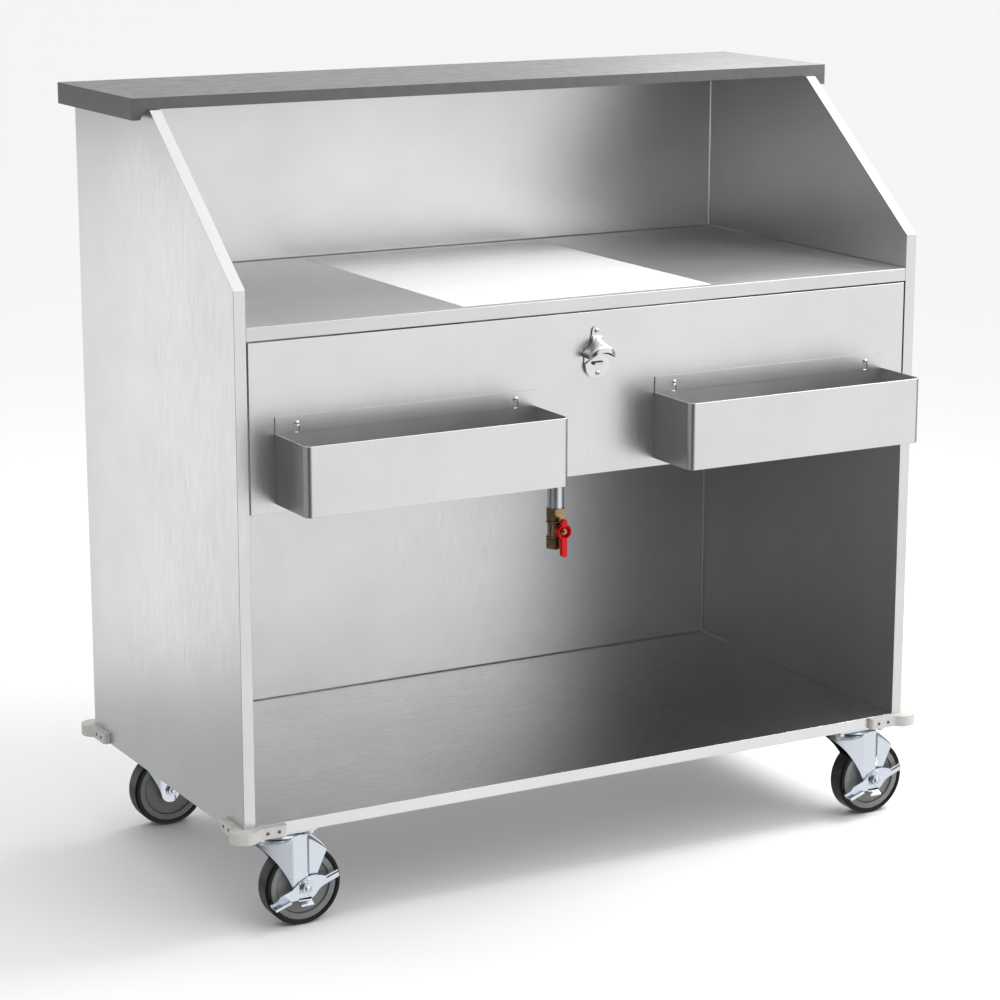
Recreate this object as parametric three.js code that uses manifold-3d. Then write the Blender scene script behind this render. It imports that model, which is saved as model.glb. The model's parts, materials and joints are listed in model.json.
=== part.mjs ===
// Portable back bar in brushed stainless steel: a worktop with an ice bin under a lift-out board, a raised
// counter behind it, two hook-on speed rails, a wall bottle opener, a drain with a ball valve, an open
// storage bay and four swivel casters. Millimetres, +Z up, front towards -Y, origin on the
// floor under the middle of the whole object.
import * as THREE from 'three';
import { mergeVertices } from 'three/addons/utils/BufferGeometryUtils.js';
import Module from 'manifold-3d';

const wasm = await Module();
wasm.setup();

// ---- Driving dimensions (mm) ----
const GAP = 0.3; // clearance between pieces that touch
const BODY_W = 1219.2; // 48 in, over the side panels
const BODY_D = 610; // 24 in, front face to back face
const PANEL_T = 19;
const BACK_T = 17;
const CASTER_H = 163; // floor to the underside of the body
const DECK_T = 19;
const WORKTOP_TOP = 781; // heights from here on are above the underside of the body
const WORKTOP_T = 20.5;
const REVEAL = 2.5; // dark gap round the front panel
const FRONT_PANEL_T = 12;
const FRONT_PANEL_BOTTOM = 501;
const SIDE_FRONT_TOP = 837; // where the side panels start to slope back
const SLOPE_END_Y = 297;
const COUNTER_TOP = 1089;
const COUNTER_T = 18;
const COUNTER_FRONT_Y = 304.6;
const COUNTER_BACK_Y = 619;
const COUNTER_OVERHANG = 25.1;
const COUNTER_SKIRT_H = 33.5;
const COUNTER_SKIRT_T = 12;

const BOARD_W = 447;
const BOARD_Y = [17, 569];
const BOARD_T = 12;
const BOARD_GAP = 1.5;
const LEDGE_W = 18; // worktop ledge that carries the ice bin and the board

const BIN_W = 406; // inside of the ice bin, 16 in
const BIN_Y = [37, 549];
const BIN_SHEET = 1.5;
const BIN_FLOOR = 537;
const INSULATION_T = 19.6;
const CASING_T = 1.2;

const DRAIN_Y = 122;
const PIPE_R = 13.35; // 3/4 in pipe
const PIPE_BORE_R = 10.4;
const VALVE_TOP = 422;
const VALVE_BOTTOM = 355;
const BALL_Z = 387;
const BALL_R = 11.8;
const STEM_R = 4;
const HANDLE_Y = -26; // middle of the handle, from the pipe's axis

const RAIL_L = 439.5;
const RAIL_D = 107;
const RAIL_H = 106;
const RAIL_BOTTOM = 514;
const RAIL_FLANGE = 25.5;
const RAIL_CORNER_R = 10;
const RAIL_SHEET = 1.5;
const RAIL_INSET = 62; // body side to rail end
const RAIL_SCREW_INSET = 35;
const RAIL_SCREW_DROP = 12; // below the top of the flange
const KEYHOLE_LIFT = 9;
const KEYHOLE_R = 5;
const KEYHOLE_SLOT_R = 2.9;
const SCREW_R = 2.5;
const SCREW_HEAD_R = 4;
const SCREW_HEAD_T = 2.6;
const SCREW_REACH = 10;

const OPENER_SCREWS = [728, 662];
const OPENER_PLATE_T = 3;

const BUMPER_R = 23;
const BUMPER_ARM = 67;
const BUMPER_T = 11;
const BUMPER_H = 18;

const CASTER_INSET_X = 74; // swivel axis from the body side
const CASTER_INSET_Y = 42; // swivel axis from the body front and back
const CASTER_TRAIL = 35; // wheel axle behind the swivel axis
const WHEEL_R = 63.5; // 5 in wheel
const TYRE_W = 32;
const RIM_R = 54.7;
const HUB_W = 34;
const AXLE_R = 5;
const FORK_T = 3;
const FORK_INNER = 19; // swivel plane to the inside of a leg
const AXLE_Z = WHEEL_R - CASTER_H;
const PEDAL_TILT = 0.33; // of the free pedal, in radians
const PEDAL_TREAD = 16.6; // how far the tread stands out from the pedal's plate

const LATHE_SIDES = 24;
const TYRE_SIDES = 36;

// ---- Derived places ----
const FRONT_Y = (RAIL_D - BODY_D - BUMPER_R) / 2; // centres the object front to back
const HALF_W = BODY_W / 2;
const INNER_HALF_W = HALF_W - PANEL_T - GAP;
const BACK_FACE_Y = BODY_D - BACK_T;
const COUNTER_UNDER = COUNTER_TOP - COUNTER_T;
const BOARD_MID_Y = (BOARD_Y[0] + BOARD_Y[1]) / 2;
const BOARD_L = BOARD_Y[1] - BOARD_Y[0];
const BIN_MID_Y = (BIN_Y[0] + BIN_Y[1]) / 2;
const BIN_L = BIN_Y[1] - BIN_Y[0];
const BOARD_UNDER = WORKTOP_TOP - BOARD_T;
const RAIL_RIM = RAIL_BOTTOM + RAIL_H;
const RAIL_TOP = RAIL_RIM + RAIL_FLANGE;
const RAIL_SCREW_Z = RAIL_TOP - RAIL_SCREW_DROP;
const RAIL_X = HALF_W - RAIL_INSET - RAIL_L / 2;

// ---- Materials ----
function material(color, roughness, metalness) {
  return new THREE.MeshStandardMaterial({ color, roughness, metalness });
}

const brushedSteel = material(0xc9cacc, 0.34, 1);
const railSteel = material(0xbfc0c2, 0.36, 1);
const charcoal = material(0x4b4b4a, 0.5, 0);
const boardWhite = material(0xe9edec, 0.45, 0);
const foam = material(0xe6dfc8, 0.9, 0);
const pipeSteel = material(0xc4cacd, 0.25, 1);
const brass = material(0x8d7450, 0.4, 1);
const redEnamel = material(0xb5101c, 0.35, 0);
const castZinc = material(0xd6d8da, 0.22, 1);
const brightZinc = material(0xcfd6e2, 0.28, 1);
const tyreBlack = material(0x151515, 0.45, 0);
const hubGrey = material(0x7d7f80, 0.55, 0);
const bumperGrey = material(0xc9c7c2, 0.6, 0);

// ---- Solids ----
function toSolid(geometry) {
  const bare = geometry.clone();
  bare.deleteAttribute('normal');
  bare.deleteAttribute('uv');
  const merged = mergeVertices(bare, 1e-4);
  return new wasm.Manifold(new wasm.Mesh({
    numProp: 3,
    vertProperties: new Float32Array(merged.attributes.position.array),
    triVerts: new Uint32Array(merged.index.array),
  }));
}

function toGeometry(solid) {
  const mesh = solid.getMesh();
  const geometry = new THREE.BufferGeometry();
  geometry.setAttribute('position', new THREE.BufferAttribute(new Float32Array(mesh.vertProperties), 3));
  geometry.setIndex(new THREE.BufferAttribute(new Uint32Array(mesh.triVerts), 1));
  geometry.computeVertexNormals();
  return geometry;
}

function combine(method, first, others) {
  let solid = toSolid(first);
  for (const other of others) {
    solid = solid[method](toSolid(other));
  }
  return toGeometry(solid);
}

const cut = (first, ...tools) => combine('subtract', first, tools);
const join = (first, ...others) => combine('add', first, others);
const overlap = (first, ...others) => combine('intersect', first, others);

function box(x0, x1, y0, y1, z0, z1) {
  return new THREE.BoxGeometry(x1 - x0, y1 - y0, z1 - z0)
    .translate((x0 + x1) / 2, (y0 + y1) / 2, (z0 + z1) / 2);
}

function cylinderZ(radius, z0, z1, x = 0, y = 0, sides = 24) {
  return new THREE.CylinderGeometry(radius, radius, z1 - z0, sides)
    .rotateX(Math.PI / 2)
    .translate(x, y, (z0 + z1) / 2);
}

function cylinderY(radius, y0, y1, x = 0, z = 0, sides = 24) {
  return new THREE.CylinderGeometry(radius, radius, y1 - y0, sides)
    .translate(x, (y0 + y1) / 2, z);
}

function polygon(points) {
  return new THREE.Shape(points.map(([a, b]) => new THREE.Vector2(a, b)));
}

// A shape drawn in X and Y, between two heights.
function plateXY(shape, z0, z1, curveSegments = 6) {
  return new THREE.ExtrudeGeometry(shape, { depth: z1 - z0, bevelEnabled: false, curveSegments })
    .translate(0, 0, z0);
}

// A shape drawn in X and Z, between two Y places.
function plateXZ(shape, y0, y1, curveSegments = 6) {
  return new THREE.ExtrudeGeometry(shape, { depth: y1 - y0, bevelEnabled: false, curveSegments })
    .rotateX(Math.PI / 2)
    .translate(0, y1, 0);
}

// A shape drawn in Y and Z, between two X places.
function plateYZ(shape, x0, x1, curveSegments = 6) {
  const turn = new THREE.Matrix4().makeBasis(
    new THREE.Vector3(0, 1, 0),
    new THREE.Vector3(0, 0, 1),
    new THREE.Vector3(1, 0, 0),
  );
  return new THREE.ExtrudeGeometry(shape, { depth: x1 - x0, bevelEnabled: false, curveSegments })
    .applyMatrix4(turn)
    .translate(x0, 0, 0);
}

// A ring turned about Y from a closed profile of [radius, y] points, given from low to high outside.
function turnedY(profile, sides = LATHE_SIDES, phase = 0) {
  const points = profile.map(([r, y]) => new THREE.Vector2(r, y));
  points.push(points[0].clone());
  return new THREE.LatheGeometry(points, sides, phase);
}

const turnedZ = (profile, sides = LATHE_SIDES) => turnedY(profile, sides).rotateX(Math.PI / 2);

function hexagonZ(acrossFlats, z0, z1) {
  return cylinderZ(acrossFlats / Math.sqrt(3), z0, z1, 0, 0, 6);
}

function hexagonY(acrossFlats, y0, y1) {
  return cylinderY(acrossFlats / Math.sqrt(3), y0, y1, 0, 0, 6);
}

function addMesh(parent, name, geometry, finish, x = 0, y = 0, z = 0) {
  const mesh = new THREE.Mesh(geometry, finish);
  mesh.name = name;
  mesh.position.set(x, y, z);
  parent.add(mesh);
  return mesh;
}

// ---- Body: its own group has the front face at Y 0 and its underside at Z 0 ----
function sidePanelGeometry() {
  const top = COUNTER_UNDER - GAP;
  const outline = polygon([[0, 0], [BODY_D, 0], [BODY_D, top], [SLOPE_END_Y, top], [0, SIDE_FRONT_TOP]]);
  return plateYZ(outline, -PANEL_T / 2, PANEL_T / 2);
}

function worktopGeometry() {
  const slab = box(-INNER_HALF_W, INNER_HALF_W, 0, BACK_FACE_Y - GAP, -WORKTOP_T, 0);
  const halfHole = BOARD_W / 2 + BOARD_GAP;
  const y0 = BOARD_Y[0] - BOARD_GAP;
  const y1 = BOARD_Y[1] + BOARD_GAP;
  const recess = box(-halfHole, halfHole, y0, y1, -BOARD_T - BIN_SHEET - 2 * GAP, 1);
  const well = box(-halfHole + LEDGE_W, halfHole - LEDGE_W, y0 + LEDGE_W, y1 - LEDGE_W, -WORKTOP_T - 1, 1);
  return cut(slab, recess, well);
}

function frontPanelGeometry() {
  const halfW = HALF_W - PANEL_T - REVEAL;
  const panel = box(-halfW, halfW, 0, FRONT_PANEL_T, FRONT_PANEL_BOTTOM, WORKTOP_TOP - WORKTOP_T - REVEAL);
  const holes = [];
  const addHole = (x, z) => holes.push(cylinderY(SCREW_R + GAP, -1, FRONT_PANEL_T + 1, x, z, 12));
  for (const railX of [-RAIL_X, RAIL_X]) {
    for (const end of [-1, 1]) {
      addHole(railX + end * (RAIL_L / 2 - RAIL_SCREW_INSET), RAIL_SCREW_Z);
    }
  }
  OPENER_SCREWS.forEach((z) => addHole(0, z));
  return cut(panel, ...holes);
}

function counterGeometry() {
  const outer = HALF_W + COUNTER_OVERHANG;
  const skirtIn = outer - COUNTER_SKIRT_T;
  const chamferTop = skirtIn - (COUNTER_SKIRT_H - COUNTER_T) * 0.72;
  const low = -COUNTER_SKIRT_H;
  const section = polygon([
    [-outer, low], [-skirtIn, low], [-chamferTop, -COUNTER_T],
    [chamferTop, -COUNTER_T], [skirtIn, low], [outer, low], [outer, 0], [-outer, 0],
  ]);
  return plateXZ(section, COUNTER_FRONT_Y, COUNTER_BACK_Y);
}

// An open box: outer block less inner block, with a round drain hole in its floor.
function tubGeometry(halfW, halfL, height, wall, holeR) {
  const outer = box(-halfW, halfW, -halfL, halfL, 0, height);
  const inner = box(-halfW + wall, halfW - wall, -halfL + wall, halfL - wall, wall, height + 1);
  const hole = cylinderZ(holeR, -1, wall + 1, 0, DRAIN_Y - BIN_MID_Y);
  return cut(outer, inner, hole);
}

function linerGeometry() {
  const halfW = BIN_W / 2 + BIN_SHEET;
  const halfL = BIN_L / 2 + BIN_SHEET;
  const top = BOARD_UNDER - GAP;
  const shell = tubGeometry(halfW, halfL, top - BIN_FLOOR + BIN_SHEET, BIN_SHEET, PIPE_R + GAP);
  const shift = BOARD_MID_Y - BIN_MID_Y;
  const flangeW = BOARD_W / 2;
  const flangeL = BOARD_L / 2;
  const height = top - BIN_FLOOR + BIN_SHEET;
  const flange = box(-flangeW, flangeW, shift - flangeL, shift + flangeL, height - BIN_SHEET, height);
  const mouth = box(-BIN_W / 2, BIN_W / 2, -BIN_L / 2, BIN_L / 2, height - 5, height + 1);
  return cut(join(shell, flange), mouth);
}

function insulationGeometry(underside, top) {
  const inner = GAP + BIN_SHEET;
  const halfW = BIN_W / 2 + inner + INSULATION_T;
  const halfL = BIN_L / 2 + inner + INSULATION_T;
  const block = box(-halfW, halfW, -halfL, halfL, underside, top);
  const hollow = box(
    -halfW + INSULATION_T, halfW - INSULATION_T,
    -halfL + INSULATION_T, halfL - INSULATION_T,
    BIN_FLOOR - BIN_SHEET - GAP, top + 1,
  );
  return cut(block, hollow, cylinderZ(PIPE_R + 1, underside - 1, top, 0, DRAIN_Y - BIN_MID_Y));
}

// Drain: a flange on the bin floor and a pipe down to the valve.
function drainPipeGeometry() {
  const flangeR = 30;
  const flangeT = 2;
  const pipeEnd = VALVE_TOP - 12;
  return turnedZ([
    [PIPE_BORE_R, pipeEnd], [PIPE_R, pipeEnd], [PIPE_R, BIN_FLOOR + GAP], [flangeR, BIN_FLOOR + GAP],
    [flangeR, BIN_FLOOR + GAP + flangeT], [PIPE_BORE_R, BIN_FLOOR + GAP + flangeT],
  ]);
}

function strainerGeometry() {
  const discR = 28;
  const discT = 1.6;
  const ringR = 6.5;
  const ringHoles = 6;
  const holes = [cylinderZ(2.5, -1, discT + 1, 0, 0, 8)];
  for (let i = 0; i < ringHoles; i += 1) {
    const angle = (i / ringHoles) * 2 * Math.PI;
    holes.push(cylinderZ(2.5, -1, discT + 1, ringR * Math.cos(angle), ringR * Math.sin(angle), 8));
  }
  return cut(cylinderZ(discR, 0, discT, 0, 0, LATHE_SIDES), ...holes);
}

// Ball valve, about its own ball centre: pipe along Z, stem towards -Y.
function valveBodyGeometry() {
  const top = VALVE_TOP - BALL_Z;
  const low = VALVE_BOTTOM + 16 - BALL_Z;
  const collar = hexagonZ(29, top - 19, top);
  const neck = cylinderZ(12.9, top - 22, top - 18);
  const barrel = cylinderZ(14.6, low, top - 21);
  const boss = cylinderY(8, -19.5, -5, 0, 0, 16);
  const ballRoom = cylinderZ(BALL_R + GAP, low - 1, BALL_R + 0.8);
  const waterway = cylinderZ(7, 0, top - 13);
  const socket = cylinderZ(PIPE_R + GAP, top - 12 - GAP, top + 1, 0, 0, LATHE_SIDES);
  const stemBore = cylinderY(STEM_R + GAP, -30, 0, 0, 0, 16);
  return cut(join(collar, neck, barrel, boss), ballRoom, waterway, socket, stemBore);
}

function valveEndGeometry() {
  const low = VALVE_BOTTOM - BALL_Z;
  return cut(hexagonZ(29, low, low + 16 - GAP), cylinderZ(9.5, low - 1, low + 17));
}

function valveBallGeometry() {
  const ball = new THREE.SphereGeometry(BALL_R, 16, 10).rotateX(Math.PI / 2);
  const slot = box(-STEM_R - 1, STEM_R + 1, -BALL_R - 1, -BALL_R + 2.4, -2, 2);
  return cut(ball, cylinderZ(7, -BALL_R - 1, BALL_R + 1, 0, 0, 20), slot);
}

function valveStemGeometry() {
  const tang = box(-STEM_R + 0.8, STEM_R - 0.8, -BALL_R + 0.4, -BALL_R + 2, -1.6, 1.6);
  const shaft = cylinderY(STEM_R, -24, -BALL_R - GAP, 0, 0, 16);
  const thread = cylinderY(2.6, -33, -23.9, 0, 0, 12);
  return join(shaft, thread, box(-2.6, 2.6, -BALL_R - 1, -BALL_R + 1, -1.6, 1.6), tang);
}

// A dished round boss with a short tab above and the lever below.
function valveHandleGeometry() {
  const boss = cylinderY(12.5, HANDLE_Y - 5, HANDLE_Y + 5, 0, 0, LATHE_SIDES);
  const dish = cylinderY(9, HANDLE_Y - 6, HANDLE_Y - 0.6, 0, 0, 20);
  const lever = new THREE.Shape();
  lever.moveTo(-5, 0);
  lever.lineTo(-4.5, -37.5);
  lever.absarc(0, -37.5, 4.5, Math.PI, 2 * Math.PI, false);
  lever.lineTo(5, 0);
  const tab = polygon([[-5, 10], [5, 10], [4, 20], [-4, 20]]);
  const arm = plateXZ(lever, HANDLE_Y - 4, HANDLE_Y + 1.5);
  const blade = join(boss, arm, plateXZ(tab, HANDLE_Y - 3, HANDLE_Y + 3));
  return cut(blade, dish, cylinderY(2.6 + GAP, HANDLE_Y - 8, HANDLE_Y + 8, 0, 0, 16),
    cylinderY(STEM_R + GAP, -24 - GAP, HANDLE_Y + 8, 0, 0, 16));
}

// Trough with round front corners and a back flange with keyholes; its back is at Y 0, its floor at Z 0.
function railOutline(inset) {
  const half = RAIL_L / 2 - inset;
  const front = -RAIL_D + inset;
  const r = RAIL_CORNER_R - inset;
  const shape = new THREE.Shape();
  shape.moveTo(half, -GAP - inset);
  shape.lineTo(-half, -GAP - inset);
  shape.lineTo(-half, front + r);
  shape.absarc(-half + r, front + r, r, Math.PI, 1.5 * Math.PI, false);
  shape.lineTo(half - r, front);
  shape.absarc(half - r, front + r, r, 1.5 * Math.PI, 2 * Math.PI, false);
  return shape;
}

function railGeometry() {
  const half = RAIL_L / 2;
  const trough = cut(
    plateXY(railOutline(0), 0, RAIL_H, 4),
    plateXY(railOutline(RAIL_SHEET), RAIL_SHEET, RAIL_H + 1, 4),
  );
  const flange = box(-half, half, -GAP - RAIL_SHEET, -GAP, RAIL_H - 1, RAIL_H + RAIL_FLANGE);
  const slotZ = RAIL_H + RAIL_FLANGE - RAIL_SCREW_DROP;
  const tools = [];
  for (const x of [-half + RAIL_SCREW_INSET, half - RAIL_SCREW_INSET]) {
    tools.push(cylinderY(KEYHOLE_R, -3, 1, x, slotZ - KEYHOLE_LIFT, 16));
    tools.push(cylinderY(KEYHOLE_SLOT_R, -3, 1, x, slotZ, 12));
    tools.push(box(x - KEYHOLE_SLOT_R, x + KEYHOLE_SLOT_R, -3, 1, slotZ - KEYHOLE_LIFT, slotZ));
  }
  return cut(join(trough, flange), ...tools);
}

// Pan-head screw along Y, its head towards -Y and its head's underside at Y 0.
function screwGeometry(headR, reach) {
  const shank = cylinderY(SCREW_R, -0.5, reach, 0, 0, 12);
  const head = new THREE.CylinderGeometry(headR, headR * 0.6, SCREW_HEAD_T, 16)
    .translate(0, -SCREW_HEAD_T / 2, 0);
  const recess = join(box(-0.5, 0.5, -4, -1.4, -2, 2), box(-2, 2, -4, -1.4, -0.5, 0.5));
  return cut(join(shank, head), recess);
}

// Cast opener: a wall plate with two screw holes and a hood that stands out over the cap's mouth.
function openerGeometry() {
  const [upper, lower] = OPENER_SCREWS;
  const mid = (upper + lower) / 2;
  const plate = new THREE.Shape();
  plate.moveTo(-7.5, upper - mid);
  plate.lineTo(-8.5, 20);
  plate.quadraticCurveTo(-13, 10, -23, 6);
  plate.lineTo(-21.5, -22);
  plate.quadraticCurveTo(-19, -45, 0, -45.5);
  plate.quadraticCurveTo(19, -45, 21.5, -22);
  plate.lineTo(23, 6);
  plate.quadraticCurveTo(13, 10, 8.5, 20);
  plate.lineTo(7.5, upper - mid);
  plate.absarc(0, upper - mid, 7.5, 0, Math.PI, false);
  const hoodSide = new THREE.Shape();
  hoodSide.moveTo(-1, 25);
  hoodSide.quadraticCurveTo(-12, 16, -29, 7);
  hoodSide.lineTo(-29, -3);
  hoodSide.lineTo(-25.5, -3);
  hoodSide.lineTo(-25.5, 4);
  hoodSide.quadraticCurveTo(-12, 10, -1, 16);
  const hoodFront = new THREE.Shape();
  hoodFront.moveTo(-8.5, 26);
  hoodFront.quadraticCurveTo(-12, 12, -23.5, 4);
  hoodFront.lineTo(-23.5, -4);
  hoodFront.quadraticCurveTo(-20, -3.5, -17, -2);
  hoodFront.quadraticCurveTo(0, 8, 17, -2);
  hoodFront.quadraticCurveTo(20, -3.5, 23.5, -4);
  hoodFront.lineTo(23.5, 4);
  hoodFront.quadraticCurveTo(12, 12, 8.5, 26);
  const hood = overlap(plateYZ(hoodSide, -24, 24), plateXZ(hoodFront, -30, 0));
  const tooth = plateYZ(polygon([[-1, -8], [-11, -15], [-11, -18], [-1, -21]]), -8, 8);
  const wings = [-1, 1].map((side) => plateYZ(
    polygon([[-1, 5], [-8, 4], [-8, -4], [-1, -7]]),
    side * 21.5 - 1.5,
    side * 21.5 + 1.5,
  ));
  const casting = join(plateXZ(plate, -OPENER_PLATE_T - GAP, -GAP), hood, tooth, ...wings);
  const face = box(-40, 40, -GAP, 5, -60, 60);
  return cut(
    casting,
    face,
    cylinderY(SCREW_R + GAP, -6, 2, 0, upper - mid, 12),
    cylinderY(SCREW_R + GAP, -6, 2, 0, lower - mid, 12),
    cylinderY(SCREW_HEAD_R + 1.5, -40, -OPENER_PLATE_T - GAP, 0, upper - mid, 16),
  );
}

// Corner bumper seen from above, round the corner at the origin, arms along +X and +Y.
function bumperGeometry() {
  const outline = new THREE.Shape();
  const blend = BUMPER_T + 3;
  const corner = Math.sqrt(BUMPER_R ** 2 - blend ** 2);
  const start = Math.atan2(-blend, corner);
  outline.moveTo(-GAP, -GAP);
  outline.lineTo(-GAP, BUMPER_ARM);
  outline.lineTo(-BUMPER_T + 4, BUMPER_ARM);
  outline.absarc(-BUMPER_T + 4, BUMPER_ARM - 4, 4, Math.PI / 2, Math.PI, false);
  outline.lineTo(-BUMPER_T, 25);
  outline.lineTo(-blend, corner);
  outline.absarc(0, 0, BUMPER_R, Math.PI / 2 - start, 2 * Math.PI + start, false);
  outline.lineTo(25, -BUMPER_T);
  outline.lineTo(BUMPER_ARM - 4, -BUMPER_T);
  outline.absarc(BUMPER_ARM - 4, -BUMPER_T + 4, 4, 1.5 * Math.PI, 2 * Math.PI, false);
  outline.lineTo(BUMPER_ARM, -GAP);
  return plateXY(outline, 0, BUMPER_H, 7);
}

// ---- Caster, about its swivel axis at the body's underside, wheel trailing towards +X ----
function forkLegShape() {
  const leg = new THREE.Shape();
  leg.moveTo(-40, -12);
  leg.lineTo(-44, -19);
  leg.quadraticCurveTo(-8, -48, 14, -97);
  leg.absarc(CASTER_TRAIL - 2, AXLE_Z - 4, 17, Math.PI * 0.93, Math.PI * 2.05, false);
  leg.lineTo(56, -84);
  leg.lineTo(73.5, -46);
  leg.lineTo(40, -25);
  leg.lineTo(38, -12);
  return leg;
}

function forkGeometry() {
  const outer = FORK_INNER + FORK_T;
  const crownTop = -11.8;
  const crown = cylinderZ(38, crownTop - FORK_T, crownTop, 0, 0, LATHE_SIDES);
  const apronShape = polygon([[-46, -17], [-44, -20], [-30, crownTop - FORK_T], [-30, crownTop]]);
  const apron = plateXZ(apronShape, -outer, outer);
  const skirtShape = polygon([
    [36, crownTop], [46, -13.5], [62, -26], [73.5, -45], [70.8, -45.5], [60, -28.5], [45, -16.8], [36, -14.8],
  ]);
  const skirt = plateXZ(skirtShape, -outer, outer);
  const legs = [-1, 1].map((side) => plateXZ(
    forkLegShape(),
    side * (FORK_INNER + FORK_T / 2) - FORK_T / 2,
    side * (FORK_INNER + FORK_T / 2) + FORK_T / 2,
    4,
  ));
  const pinHole = cylinderZ(6.8, -20, -5, 0, 0, 20);
  const axleHole = cylinderY(AXLE_R + GAP, -30, 30, CASTER_TRAIL, AXLE_Z, 20);
  const lid = box(-60, 90, -60, 60, crownTop, 5);
  return cut(join(crown, apron, skirt, ...legs), pinHole, axleHole, lid);
}

function kingpinGeometry() {
  return turnedZ([
    [0, -19.5], [10, -19.5], [10, -15.1], [6.2, -15.1], [6.2, -11.2],
    [34, -11.2], [34, -9], [28, -3.6], [0, -3.6],
  ], 20);
}

function axleGeometry() {
  const near = -FORK_INNER - FORK_T - 3.8;
  const far = FORK_INNER + FORK_T + 0.4;
  const shank = cylinderY(AXLE_R, near - 8, far + 2, 0, 0, 16);
  return join(shank, hexagonY(16, near - 6, near), hexagonY(16, far, far + 6));
}

function hubGeometry() {
  const half = HUB_W / 2;
  return turnedY([
    [AXLE_R + GAP, -half], [14, -half], [16, -12], [43.5, -12], [44.5, -15.5], [RIM_R, -15.5],
    [RIM_R, 15.5], [44.5, 15.5], [43.5, 12], [16, 12], [14, half], [AXLE_R + GAP, half],
  ]);
}

function tyreGeometry() {
  const half = TYRE_W / 2;
  const flat = 1 / Math.cos(Math.PI / TYRE_SIDES); // flats, not corners, lie on the stated radii
  const shoulder = 3.5;
  return turnedY([
    [(RIM_R + GAP) * flat, -half], [(WHEEL_R - shoulder) * flat, -half], [WHEEL_R * flat, -half + shoulder],
    [WHEEL_R * flat, half - shoulder], [(WHEEL_R - shoulder) * flat, half], [(RIM_R + GAP) * flat, half],
  ], TYRE_SIDES, Math.PI / TYRE_SIDES);
}

// See-saw pedal on the axle: a round plate with a lip under it, a raised arm with its edge turned in, and a
// lowered arm whose tread stands out from the wheel and ends in a small turned-down rim.
function brakeLeverGeometry() {
  const t = 3;
  const plate = new THREE.Shape();
  plate.moveTo(0, -21);
  plate.quadraticCurveTo(11, -20, 16, -15);
  plate.quadraticCurveTo(22, -11, 31, -10.8);
  plate.lineTo(56, -10);
  plate.lineTo(57.5, 1.5);
  plate.lineTo(35, 1.8);
  plate.quadraticCurveTo(24, 13, 8, 14);
  plate.quadraticCurveTo(-10, 12, -22, 6.8);
  plate.lineTo(-44, 6.2);
  plate.lineTo(-50, 2.2);
  plate.lineTo(-63, 1.8);
  plate.lineTo(-63, -3.5);
  plate.lineTo(-33, -3.5);
  plate.lineTo(-30, -10);
  plate.quadraticCurveTo(-15, -14, 0, -21);
  const body = plateXZ(plate, -t, 0);
  const turnedEdge = box(36, 57, -t, 4.6, -1.2, 1.5);
  const tread = box(-63, -36, -t - PEDAL_TREAD, 0, -3.5, -0.6);
  const rim = box(-63, -36, -t - PEDAL_TREAD, -t - PEDAL_TREAD + 2.5, -5, -0.6);
  const arms = join(body, turnedEdge, tread, rim).rotateY(-PEDAL_TILT);
  const lipSide = polygon([[0, -18], [-t, -18], [-t, -20.6], [-11, -24.4], [-12, -27], [0, -22.6]]);
  const lip = plateYZ(lipSide, -12.5, 9);
  return cut(join(arms, lip), cylinderY(AXLE_R + 0.4, -9, 9, 0, 0, 20));
}

function addCaster(body, name, x, y, hasBrake) {
  const caster = new THREE.Group();
  caster.position.set(x, y, 0);
  body.add(caster);
  addMesh(caster, `${name}_plate`, box(-52.5, 52.5, -39.5, 39.5, -3.3, -GAP), brightZinc);
  addMesh(caster, `${name}_kingpin`, kingpinGeometry(), brightZinc);
  addMesh(caster, `${name}_fork`, forkGeometry(), brightZinc);
  const wheel = new THREE.Group();
  wheel.position.set(CASTER_TRAIL, 0, AXLE_Z);
  caster.add(wheel);
  addMesh(wheel, `${name}_axle`, axleGeometry(), brightZinc);
  addMesh(wheel, `${name}_hub`, hubGeometry(), hubGrey);
  addMesh(wheel, `${name}_tyre`, tyreGeometry(), tyreBlack);
  if (hasBrake) {
    const leverY = -FORK_INNER - FORK_T - 0.4;
    addMesh(wheel, `${name}_brake_lever`, brakeLeverGeometry(), brightZinc, 0, leverY, 0);
  }
}

function addBody(body) {
  for (const [side, sign] of [['left', -1], ['right', 1]]) {
    addMesh(body, `side_panel_${side}`, sidePanelGeometry(), brushedSteel, sign * (HALF_W - PANEL_T / 2));
  }
  const backPanel = box(-INNER_HALF_W, INNER_HALF_W, 0, BACK_T, 0, COUNTER_UNDER - GAP);
  addMesh(body, 'back_panel', backPanel, brushedSteel, 0, BACK_FACE_Y);
  const deck = box(-INNER_HALF_W, INNER_HALF_W, 0, BACK_FACE_Y - GAP, 0, DECK_T);
  addMesh(body, 'bottom_deck', deck, brushedSteel);
  addMesh(body, 'worktop', worktopGeometry(), brushedSteel, 0, 0, WORKTOP_TOP);
  addMesh(body, 'front_panel', frontPanelGeometry(), brushedSteel);
  addMesh(body, 'counter_top', counterGeometry(), charcoal, 0, 0, COUNTER_TOP);
}

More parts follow.
